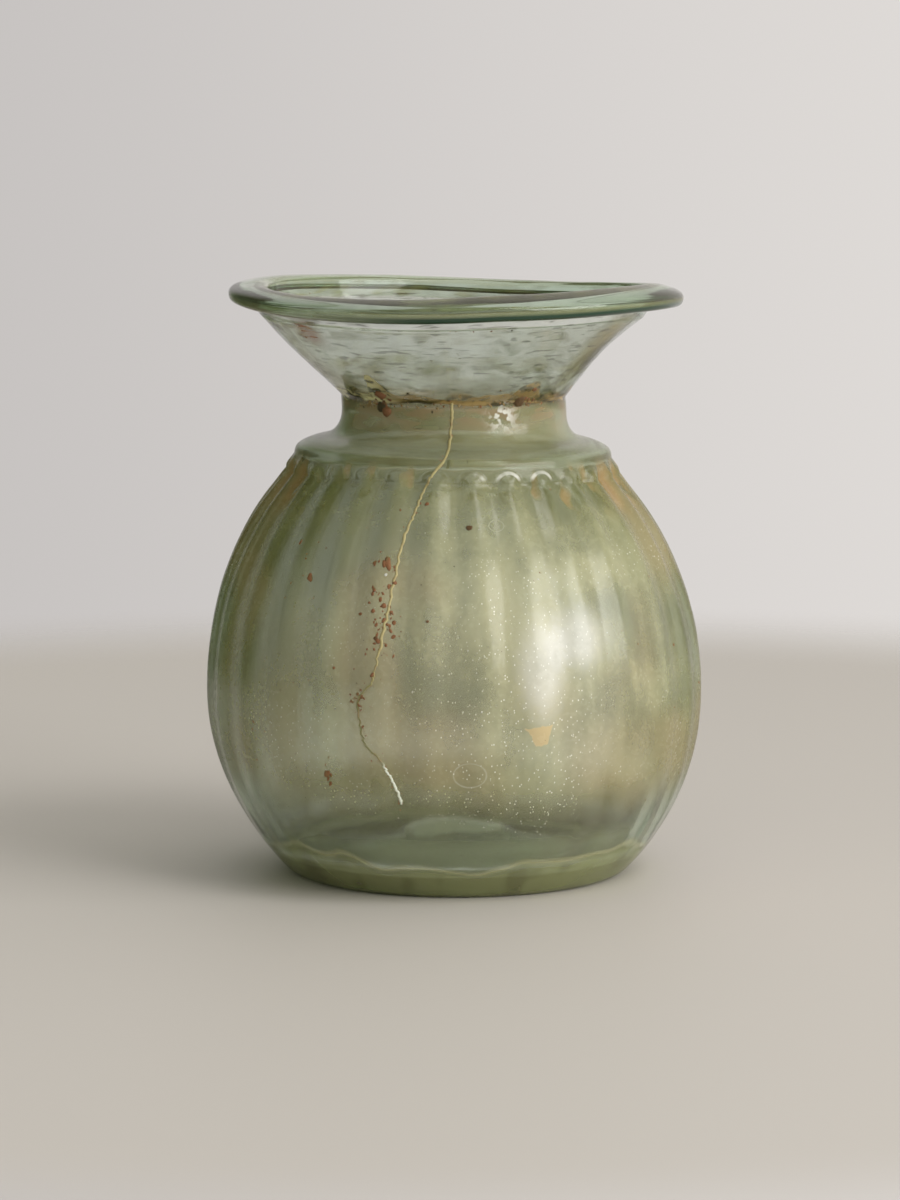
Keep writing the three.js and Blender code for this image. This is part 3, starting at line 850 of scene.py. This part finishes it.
    upper = g.clamped(neck + crust + line)
    tone = g.mix(upper, tone, neck_tone)

    # Funnel: a thin warm haze with horizontal streaks, thicker to the left and at the right edge
    edges = g.step(turn, -15, -60) + g.step(turn, 55, 80)
    smear = g.step(ribbons, 0.5, 0.72)
    drawn = g.vector(x * 0.12, y * 0.12, z + inside * 0.3)
    scratches = g.step(g.pattern(drawn, SCRATCH_SIZE, 0.0, 0.5, 17.0), 0.66, 0.74)
    tone = g.mix(funnel * scratches, tone, v.umber)
    smear_left = patch(*RUSTY_SMEAR)
    tone = g.mix(funnel * smear_left, tone, v.rust)
    haze = scratches * 0.22 + smear_left * 0.35 + patch(*FUNNEL_SMEAR) * 0.3 + smear * 0.09
    haze = funnel * 1.5 * (haze + 0.05 + g.step(warm, 0.5, 0.75) * 0.08 + edges * (0.06 + smear * 0.2))

    # Foot: moss-green film with a wavy pale line and darker blotches below it
    wave = g.pattern(g.vector(x, y, 0.0), FOOT_WAVE_SIZE, 1.0, 0.5, 14.0)
    foot_wave = level - FOOT_LINE - (wave - 0.5) * 0.0105
    foot = g.step(foot_wave, 0.0015, -0.0015) * outside
    hem = g.step(g.math("ABSOLUTE", foot_wave), 0.0007, 0.0001) * outside
    blotch = foot * g.step(foot_wave, -0.0002, -0.0012) * g.step(ragged * 0.7 + clouds * 0.3, 0.48, 0.62)
    tone = g.mix(foot, tone, v.moss)
    tone = g.mix(hem * 0.7, tone, v.milk)
    tone = g.mix(blotch * 0.45, tone, v.umber)
    cover = g.math("MAXIMUM", cover, foot * 0.58 + hem * 0.1 + blotch * 0.1)

    # Lip: painted shade, dark green along its lower edge on the near side, where the thick glass looks
    # darkest
    # below marks the painted dark band under the lip, weaker towards the left
    below = given("Under") * (g.step(turn, -75, -5) * 0.75 + 0.25) * near
    tone = g.mix(below, tone, v.lip_shade_green)
    on_lip = g.step(level, *LIP_START)
    above = given("Crown") * (0.10 + g.step(ribbons, 0.4, 0.7) * 0.25) + on_lip * 0.09
    tone = g.mix(on_lip * (1 - below), tone, g.mix(warm, v.olive, v.milk))
    cover = g.math("MAXIMUM", cover, below * 0.9 + above)

    # Floor: pale deposit on the pushed-up middle and along the foot of the wall
    away = g.math("SQRT", x * x + y * y) + (clouds - 0.5) * 0.005 + (grain - 0.5) * 0.0015
    middle = g.step(away, 0.0086, 0.0060)
    rim = g.step(g.math("ABSOLUTE", away - 0.0245), 0.0034, 0.0006)
    bottom = g.step(level, *FLOOR_END)
    dusty = bottom * inside * g.clamped(0.75 + middle * 0.4 + rim * 0.3 - g.step(clouds, 0.5, 0.65) * 0.3)
    thickest = g.clamped(middle + rim * 0.6 + g.step(y, 0.0, -0.012) * 0.7)
    settled = g.mix(thickest, v.olive, v.deposit)
    tone = g.mix(bottom * inside, tone, settled)
    total = g.clamped(g.math("MAXIMUM", cover * (1 - upper), dusty * 0.85) + neck_cover + haze)

    g.put(tone, result.inputs["Colour"])
    g.put(total, result.inputs["Cover"])
    g.put(g.clamped(body * low * 0.65 + neck * 0.35 + funnel * 0.1), result.inputs["Dull"])
    g.put(grain, result.inputs["Grain"])
    return g.tree


def film(g, tree):
    """Places the film group in a material and returns its outputs by name."""
    node = g.node("ShaderNodeGroup", node_tree=tree)
    g.put(g.get("ShaderNodeTexCoord", key="Object"), node.inputs["Position"])
    for name in FILM_VALUES:
        g.put(g.out(g.node("ShaderNodeAttribute", attribute_name=name.lower()), "Fac"), node.inputs[name])
    return lambda key: g.out(node, key)


def bumped(g, height, depth):
    """A normal from a height, with the relief's depth in metres."""
    return g.get("ShaderNodeBump", {"Height": height, "Distance": depth})


def glass_material(v, tree):
    """Blue-green glass that takes light away inside, with a surface that is dulled where it is weathered."""
    material, g, shader, output = new_material("green_glass")
    mask = film(g, tree)
    shader.inputs["Base Color"].default_value = (1, 1, 1, 1)
    shader.inputs["Transmission Weight"].default_value = 1.0
    shader.inputs["IOR"].default_value = 1.5
    roughness = v.clear_roughness + mask("Dull") * (v.dull_roughness - v.clear_roughness)
    g.put(roughness, shader.inputs["Roughness"])
    volume = g.node("ShaderNodeVolumeAbsorption", {"Color": (*v.glass_tint, 1), "Density": v.glass_depth})
    g.put(g.out(volume), output.inputs["Volume"])
    return material


def film_material(tree):
    """Pale, patchy film with warm stains, as it lies on long-buried glass, and with painted light, highlights
    and shade.
    """
    material, g, shader, _ = new_material("weathering_film")
    mask = film(g, tree)
    g.put(mask("Colour"), shader.inputs["Base Color"])
    g.put(mask("Dull") * 0.2 + mask("Grain") * 0.24, shader.inputs["Roughness"])
    g.put(mask("Cover"), shader.inputs["Alpha"])
    return material


def crack_material(v):
    """Cream filling of the crack, which turns greenish towards its lower end, where a near-white painted
    glint lies.
    """
    material, g, shader, _ = new_material("crack_filling")
    x, y, z = g.parts(g.get("ShaderNodeTexCoord", key="Object"))
    grain = g.pattern(g.vector(x, y, z), 0.0012, 2.0, 0.6, 4.0)
    tone = g.mix(g.step(z, 0.030, 0.040), FILLING_LOW, FILLING_HIGH)
    tone = g.mix(g.step(grain, 0.5, 0.75), tone, FILLING_BROWN)
    # Painted glint near the lower end
    tone = g.mix(g.step(z, 0.0235, 0.0215), tone, CRACK_GLINT)
    g.put(tone, shader.inputs["Base Color"])
    g.put(0.35 + grain * 0.3, shader.inputs["Roughness"])
    g.put(bumped(g, grain, 0.0001), shader.inputs["Normal"])
    return material


def dirt_material(v):
    """Dry earth: from red-brown through dark brown to cream, by the flake's own tone."""
    material, g, shader, _ = new_material("dry_earth")
    tone = g.out(g.node("ShaderNodeAttribute", attribute_name="tone"), "Fac")
    where = g.get("ShaderNodeTexCoord", key="Object")
    grain = g.pattern(where, 0.0007, 2.0, 0.7, 5.0)
    dark = g.mix(g.step(tone, 0.0, 0.3), v.umber, v.rust)
    pale = g.mix(g.step(tone, 0.45, 0.7), dark, v.crust)
    pale = g.mix(g.step(tone, 0.75, 0.95), pale, v.pearl_and_highlight)
    g.put(g.mix(grain * 0.6, pale, EARTH_SHADE), shader.inputs["Base Color"])
    g.put(0.6 + grain * 0.3, shader.inputs["Roughness"])
    g.put(bumped(g, grain, 0.0002), shader.inputs["Normal"])
    return material


def floor_material(stage):
    """Pale matt floor that fades out towards its edge."""
    material, g, shader, _ = new_material("pale_floor")
    x, y, _z = g.parts(g.get("ShaderNodeTexCoord", key="Object"))
    away = g.math("SQRT", x * x + y * y)
    g.put(g.step(away, stage.floor_radius, stage.floor_radius - stage.floor_fade), shader.inputs["Alpha"])
    shader.inputs["Base Color"].default_value = (*stage.floor_colour, 1)
    shader.inputs["Roughness"].default_value = 0.6
    return material


def settings(context):
    """The property groups, by short names."""
    scene = context.scene
    return scene.vase_form, scene.vase_ribs, scene.vase_handwork, scene.vase_finish


def wall(context, name, material, skin, tree):
    """The whole turned wall as one closed mesh, or a skin over it."""
    form, ribs, hand, finish_values = settings(context)
    profile = Profile(form, ribs, hand)
    source = profile_mesh(name + "_profile", profile, profile.rings())
    piece = grown(
        name, source, tree, sides=WALL_SIDES, ribs=ribs.ribs,
        rib_start=ribs.start, rib_sharpness=ribs.sharpness,
        rib_top=profile.rib_top, rib_head=ribs.head, lean=hand.lean, lean_side=hand.lean_side,
        lean_from=form.equator, lean_to=profile.groove_z, saddle=hand.saddle, saddle_side=hand.saddle_side,
        lip_roll=hand.roll, lip_roll_swing=hand.roll_swing, heavy_side=hand.heavy_side,
        lip_leap=hand.leap / form.lip_thickness, lip_swell=hand.swell, lip_reach=form.lip_width / 2,
        waviness=hand.waviness, wave_size=hand.wave_size, ripple=hand.ripple, ripple_size=hand.ripple_size,
        skin=skin, seed=float(finish_values.seed), material=material,
    )
    facing_out(piece.data)
    return piece


def bare_inside(mesh):
    """Leaves the inner wall bare between the floor and the neck, and in the funnel."""
    work = bmesh.new()
    work.from_mesh(mesh)
    inside = work.verts.layers.float["inside"]
    level = work.verts.layers.float["level"]
    bare = [
        face for face in work.faces
        if all(v[inside] > 0.99 and any(a < v[level] < b for a, b in BARE_LEVELS) for v in face.verts)
    ]
    bmesh.ops.delete(work, geom=bare, context="FACES")
    work.to_mesh(mesh)
    work.free()


def group(name, build, *values):
    """A node group of this name, built once."""
    return bpy.data.node_groups.get(name) or build(*values)


# Places on the finished wall

class WallSurface:
    """Finds places on the outside or the inside of the finished glass wall."""

    def __init__(self):
        mesh = bpy.data.objects["vase_glass"].data
        points = [v.co.copy() for v in mesh.vertices]
        self.tree = BVHTree.FromPolygons(points, [tuple(p.vertices) for p in mesh.polygons])

    def find(self, degrees, height, inside=False):
        """Place and direction off the wall, from degrees to the right of the front and millimetres up."""
        a = math.radians(degrees + FRONT_DEG)
        way = Vector((math.cos(a), math.sin(a), 0))
        start = Vector((0, 0, height * MM)) + (0 if inside else OUT_OF_REACH) * way
        away = -way if inside else way
        place, normal, *_ = self.tree.ray_cast(start, -away)
        return place, normal if normal.dot(away) > 0 else -normal


def points_mesh(name, places, joined, **values):
    """Loose or joined points, with an outward direction and other values as attributes."""
    mesh = bpy.data.meshes.new(name)
    edges = [(i, i + 1) for i in range(len(places) - 1)] if joined else []
    mesh.from_pydata([tuple(place) for place, _ in places], edges, [])
    outward = mesh.attributes.new("outward", "FLOAT_VECTOR", "POINT")
    outward.data.foreach_set("vector", [part for _, normal in places for part in normal])
    for key, numbers in values.items():
        mesh.attributes.new(key, "FLOAT", "POINT").data.foreach_set("value", numbers)
    return mesh


def between(marks, steps):
    """Points on a smooth line through the marks."""
    ends = [marks[0], *marks, marks[-1]]
    line = []
    for before, first, second, after in zip(ends, ends[1:], ends[2:], ends[3:]):
        for t in spread(0, 1, steps, end=False):
            line.append(tuple(
                b + 0.5 * t * (c - a + t * (2 * a - 5 * b + 4 * c - d + t * (3 * (b - c) + d - a)))
                for a, b, c, d in zip(before, first, second, after)
            ))
    return [*line, marks[-1]]


def vein_tree():
    """A thin, flat vein along a line of points on a wall."""
    inputs = [("Line", "NodeSocketGeometry", None), ("Width", "NodeSocketFloat", 0.0),
              ("Flatness", "NodeSocketFloat", 0.35), ("Material", "NodeSocketMaterial", None)]
    g, given, result = new_tree("Vein", "GeometryNodeTree", inputs, SHAPE_OUT)
    where = g.get("GeometryNodeInputPosition")
    marked = g.node("GeometryNodeStoreNamedAttribute", {"Geometry": given("Line"), "Name": "centre"},
                    data_type="FLOAT_VECTOR")
    g.put(where, marked.inputs["Value"])
    curve = g.get("GeometryNodeMeshToCurve", {0: g.out(marked)})
    uneven = g.noise(where, 0.0017, 2.0, 0.7, 3.0) * 1.2 + 0.4
    section = g.get("GeometryNodeCurvePrimitiveCircle", {"Resolution": 8, "Radius": 1.0})
    vein = g.node("GeometryNodeCurveToMesh", {"Curve": curve, "Profile Curve": section, "Fill Caps": True})
    g.put(given("Width") * g.attribute("broad") * uneven * 0.5, vein.inputs["Scale"])
    offset = g.vectors("SUBTRACT", where, g.attribute("centre", "FLOAT_VECTOR"))
    outward = g.attribute("outward", "FLOAT_VECTOR")
    height = g.vectors("DOT_PRODUCT", offset, outward, key="Value")
    sink = g.vectors("SCALE", outward, height * (given("Flatness") - 1))
    shape = g.get("GeometryNodeSetPosition", {"Geometry": g.out(vein), "Offset": sink})
    finish(g, shape, given("Material"), result)
    return g.tree


def flakes_tree():
    """A ragged flake of earth on each point of a wall."""
    inputs = [("Points", "NodeSocketGeometry", None), ("Raggedness", "NodeSocketFloat", 0.3),
              ("Grain", "NodeSocketFloat", 0.0009), ("Material", "NodeSocketMaterial", None)]
    g, given, result = new_tree("Flakes", "GeometryNodeTree", inputs, SHAPE_OUT)
    points = g.get("GeometryNodeMeshToPoints", {0: given("Points")})
    flake = g.get("GeometryNodeMeshUVSphere", {"Segments": 8, "Rings": 5, "Radius": 1.0})
    outward = g.attribute("outward", "FLOAT_VECTOR")
    turned = g.get("FunctionNodeAlignRotationToVector", {"Vector": outward}, axis="Z")
    upright = g.node("FunctionNodeAlignRotationToVector", {"Rotation": turned, "Vector": (0, 0, 1)},
                     axis="Y", pivot_axis="Z")
    turn = {"Axis": (0, 0, 1), "Angle": g.attribute("turn")}
    twist = g.get("FunctionNodeAxisAngleToRotation", turn)
    rotation = g.node("FunctionNodeRotateRotation", {0: g.out(upright), 1: twist}, rotation_space="LOCAL")
    size = g.attribute("size")
    placed = g.node("GeometryNodeInstanceOnPoints", {"Points": points, "Instance": flake})
    g.put(g.out(rotation), placed.inputs["Rotation"])
    g.put(g.vector(size, size * g.attribute("long"), size * g.attribute("thick")), placed.inputs["Scale"])
    shape = g.get("GeometryNodeRealizeInstances", {"Geometry": g.out(placed)})
    where = g.get("GeometryNodeInputPosition")
    shake = g.node("ShaderNodeTexNoise", {"Vector": where, "Scale": 1 / given("Grain"), "Detail": 1.0})
    shift = g.vectors("SUBTRACT", g.out(shake, "Color"), (0.5, 0.5, 0.5))
    shift = g.vectors("SCALE", shift, size * given("Raggedness") * 4)
    shape = g.get("GeometryNodeSetPosition", {"Geometry": shape, "Offset": shift})
    finish(g, shape, given("Material"), result)
    return g.tree


class Flakes:
    """Gathers flakes of earth before they are made; places and sizes in degrees and millimetres."""

    def __init__(self, surface, seed):
        self.surface = surface
        self.random = random.Random(seed)
        self.places = []
        self.values = {"size": [], "long": [], "thick": [], "turn": [], "tone": []}

    def add(self, degrees, height, size, tone, long=1.0, turn=0.0, thick=0.3, inside=False):
        self.places.append(self.surface.find(degrees, height, inside))
        row = (size / 2 * MM, long, thick, math.radians(turn), tone)
        for key, value in zip(self.values, row):
            self.values[key].append(value)

    def scatter(self, degrees, height, wide, high, flakes, size, tone,
                long=(0.6, 1.8), lean=(-40, 40), **more):
        """Many flakes about a place; wide is in degrees and high in millimetres."""
        pick = self.random
        for _ in range(flakes):
            self.add(
                degrees + pick.gauss(0, wide / 2), min(max(height + pick.gauss(0, high / 2), 4), 88),
                size * pick.lognormvariate(-0.3, 0.5), tone + pick.uniform(-0.12, 0.12),
                long=pick.uniform(*long), turn=pick.uniform(*lean), **more,
            )

    def build(self, name, material):
        source = points_mesh(name + "_points", self.places, False, **self.values)
        return grown(name, source, group("Flakes", flakes_tree), material=material)


class MESH_OT_vase_glass(bpy.types.Operator):
    """Blow the glass wall of the vase"""

    bl_idname = "mesh.vase_glass"
    bl_label = "Glass wall"

    def execute(self, context):
        v = context.scene.vase_finish
        material = glass_material(v, group("Film", film_group, v))
        piece = wall(context, "vase_glass", material, 0.0, group("Turned wall", wall_tree))
        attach(piece, "root")
        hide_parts("glass_vase")
        return {"FINISHED"}


class MESH_OT_vase_film(bpy.types.Operator):
    """Lay the weathering film, with its painted light, highlights and shade, over the glass"""

    bl_idname = "mesh.vase_film"
    bl_label = "Weathering film"

    def execute(self, context):
        v = context.scene.vase_finish
        material = film_material(group("Film", film_group, v))
        piece = wall(context, "weathering_film", material, v.skin, group("Turned wall", wall_tree))
        bare_inside(piece.data)
        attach(piece, "root")
        return {"FINISHED"}


class MESH_OT_vase_crack(bpy.types.Operator):
    """Run the filled crack down the near side"""

    bl_idname = "mesh.vase_crack"
    bl_label = "Crack"

    def execute(self, context):
        v = context.scene.vase_finish
        surface = WallSurface()
        pick = random.Random(v.seed)
        line = [(a + pick.gauss(0, 0.16), z + pick.gauss(0, 0.05)) for a, z in between(CRACK, 14)]
        places = [surface.find(*mark) for mark in line]
        broad = [0.8 + 0.42 * smooth(z, 36, 44) + 0.35 * (1 - smooth(z, 21, 24)) for _, z in line]
        source = points_mesh("crack_line", places, True, broad=broad)
        tree = group("Vein", vein_tree)
        material = crack_material(v)
        piece = grown("crack", source, tree, width=v.crack_width, flatness=0.6, material=material)
        facing_out(piece.data)
        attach(piece, "root")
        return {"FINISHED"}


class MESH_OT_vase_dirt(bpy.types.Operator):
    """Scatter the dry earth that clings to the vase"""

    bl_idname = "mesh.vase_dirt"
    bl_label = "Dirt"

    def execute(self, context):
        v = context.scene.vase_finish
        dirt = Flakes(WallSurface(), v.seed)
        rust, brown, gold, cream = 0.36, 0.12, 0.7, 1.0
        for a, z in between(CRACK, 3):
            dirt.scatter(a, z, 1.6, 2.0, 2, 0.22, rust, thick=0.5)
        dirt.add(-17.4, 52.9, 1.05, rust, long=2.4, turn=8)
        dirt.add(-17.6, 51.2, 0.6, cream, long=1.0)
        dirt.add(-8.4, 61.4, 0.7, rust, long=1.1)
        dirt.scatter(-18, 45.5, 5.5, 7.0, 60, 0.60, rust)
        dirt.scatter(-16, 41.0, 6.0, 10.0, 34, 0.32, brown + 0.1)
        dirt.scatter(-22.2, 32.5, 2.4, 1.8, 16, 0.48, rust + 0.08)
        dirt.scatter(-30.4, 20.6, 1.2, 2.6, 9, 0.7, rust + 0.16, lean=(-32, -22), long=(1.4, 2.4))
        dirt.scatter(-41, 51, 7, 6, 12, 0.26, rust + 0.14)
        dirt.scatter(-52, 24, 5, 8, 12, 0.3, rust + 0.14)
        dirt.add(-43.5, 32.7, 0.5, brown)
        dirt.add(-28.8, 37.0, 0.5, rust)
        dirt.add(4.4, 58.0, 1.1, brown, long=0.8)
        dirt.scatter(0, 40, 60, 40, 170, 0.13, brown)
        dirt.scatter(6, 28, 40, 26, 260, 0.11, cream)
        for a in range(-62, 64, 3):
            tone = dirt.random.choice((brown, rust, gold, gold))
            dirt.scatter(a, 74.9, 3.0, 0.7, 2, 0.32, tone, thick=0.35)
        dirt.scatter(-38, 75.6, 5, 1.6, 12, 0.8, brown, thick=0.4)
        dirt.scatter(-46, 74.6, 8, 1.2, 14, 0.7, gold, thick=0.4)
        dirt.scatter(38, 76.0, 6, 1.4, 10, 0.8, brown, thick=0.4)
        dirt.scatter(0, 82, 50, 7, 36, 0.2, brown, long=(0.15, 0.4), lean=(-12, 12), inside=True)
        dirt.scatter(4, 83, 12, 2, 10, 0.42, brown, long=(0.15, 0.3), lean=(-12, 12), inside=True)
        dirt.scatter(4, 90.6, 22, 0.3, 16, 0.26, brown, long=(0.6, 1.6))
        dirt.scatter(180, 42, 120, 40, 260, 0.24, rust)
        piece = dirt.build("dirt", dirt_material(v))
        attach(piece, "root")
        return {"FINISHED"}


def aimed(name, data, place):
    """A light or camera that looks at the target."""
    item = bpy.data.objects.new(name, data)
    item.location = place
    item.rotation_euler = (TARGET - place).to_track_quat("-Z", "Y").to_euler()
    bpy.context.scene.collection.objects.link(item)
    return item


def placed_light(name, place, size, power, tint):
    """A soft rectangular light that looks at the target."""
    light = bpy.data.lights.new(name, "AREA")
    light.shape = "RECTANGLE"
    light.size, light.size_y = size
    light.energy = power
    light.color = tint
    aimed(name, light, place)


def around(azimuth_deg, elevation_deg, distance):
    """A place seen from the target at an azimuth, with 0 to the right and -90 towards the camera."""
    a = math.radians(azimuth_deg)
    e = math.radians(elevation_deg)
    way = Vector((math.cos(a) * math.cos(e), math.sin(a) * math.cos(e), math.sin(e)))
    return TARGET + distance * way


class SCENE_OT_vase_stage(bpy.types.Operator):
    """Set up the floor, the light and the camera"""

    bl_idname = "scene.vase_stage"
    bl_label = "Stage"

    def execute(self, context):
        stage = context.scene.vase_stage
        bpy.ops.mesh.primitive_circle_add(vertices=96, radius=stage.floor_radius, fill_type="NGON")
        floor = context.object
        floor.name = "pale_floor"
        floor.data.materials.append(floor_material(stage))
        context.scene.view_settings.view_transform = "Standard"
        lights = (
            ("window", (-30, 21, 1.0), (0.75, 0.55), stage.window, (1, 0.99, 0.97)),
            ("lamp", (-42, 58, 1.0), (0.28, 0.28), stage.lamp, (1, 0.98, 0.95)),
            ("fill", (-150, 25, 1.1), (0.6, 0.8), stage.fill, (1, 0.98, 0.9)),
        )
        for name, place, size, power, tint in lights:
            placed_light(name, around(*place), size, power, tint)
        self.surround(context, stage)
        camera = bpy.data.cameras.new("camera")
        camera.lens = stage.lens
        camera.sensor_width = 36
        camera.clip_end = 20
        place = around(FRONT_DEG, math.degrees(stage.elevation), stage.distance)
        context.scene.camera = aimed("camera", camera, place)
        return {"FINISHED"}

    def surround(self, context, stage):
        """A pale surround, a little brighter to the right."""
        world = context.scene.world or bpy.data.worlds.new("surround")
        context.scene.world = world
        world.use_nodes = True
        world.node_tree.nodes.clear()
        g = Graph(world.node_tree)
        x, y, z = g.parts(g.get("ShaderNodeTexCoord", key="Generated"))
        tone = g.mix(g.step(x, -0.09, 0.09), stage.back_left, stage.back_right)
        aside = g.step(g.math("ABSOLUTE", x), 0.12, 0.6)
        brightness = g.step(x, -0.5, 0.5)
        tone = g.mix(aside * (1 - brightness), tone, stage.side_tone)
        side = stage.side_left + brightness * (stage.side_right - stage.side_left)
        strength = 1 + aside * (side - 1)
        strength = strength * (1 + g.step(y, 0.3, -0.5) * (stage.near_side - 1))
        strength = strength * (1 + g.step(z, 0.2, 0.75) * (stage.overhead - 1))
        back = g.node("ShaderNodeBackground", {"Color": tone, "Strength": strength})
        g.node("ShaderNodeOutputWorld", {"Surface": g.out(back)})


class VIEW3D_PT_vase(bpy.types.Panel):
    """Sizes, finishes and the pieces of the vase"""

    bl_label = "Glass vase"
    bl_idname = "VIEW3D_PT_vase"
    bl_space_type = "VIEW_3D"
    bl_region_type = "UI"
    bl_category = "Vase"

    def draw(self, context):
        for name, holder in HOLDERS.items():
            box = self.layout.box()
            box.label(text=holder.__doc__)
            for key in holder.__annotations__:
                box.prop(getattr(context.scene, name), key)
        for operator in OPERATORS:
            self.layout.operator(operator.bl_idname)


HOLDERS = {
    "vase_form": VaseForm,
    "vase_ribs": VaseRibs,
    "vase_handwork": VaseHandwork,
    "vase_finish": VaseFinish,
    "vase_stage": StageSettings,
}
OPERATORS = (
    MESH_OT_vase_glass,
    MESH_OT_vase_film,
    MESH_OT_vase_crack,
    MESH_OT_vase_dirt,
    SCENE_OT_vase_stage,
)


def register():
    for kind in (*HOLDERS.values(), *OPERATORS, VIEW3D_PT_vase):
        bpy.utils.register_class(kind)
    for name, holder in HOLDERS.items():
        setattr(bpy.types.Scene, name, PointerProperty(type=holder))


def unregister():
    for name in HOLDERS:
        delattr(bpy.types.Scene, name)
    for kind in reversed((*HOLDERS.values(), *OPERATORS, VIEW3D_PT_vase)):
        bpy.utils.unregister_class(kind)


def main():
    register()
    bpy.ops.mesh.vase_glass()
    bpy.ops.mesh.vase_film()
    bpy.ops.mesh.vase_crack()
    bpy.ops.mesh.vase_dirt()
    bpy.ops.scene.vase_stage()


if __name__ == "__main__":
    main()
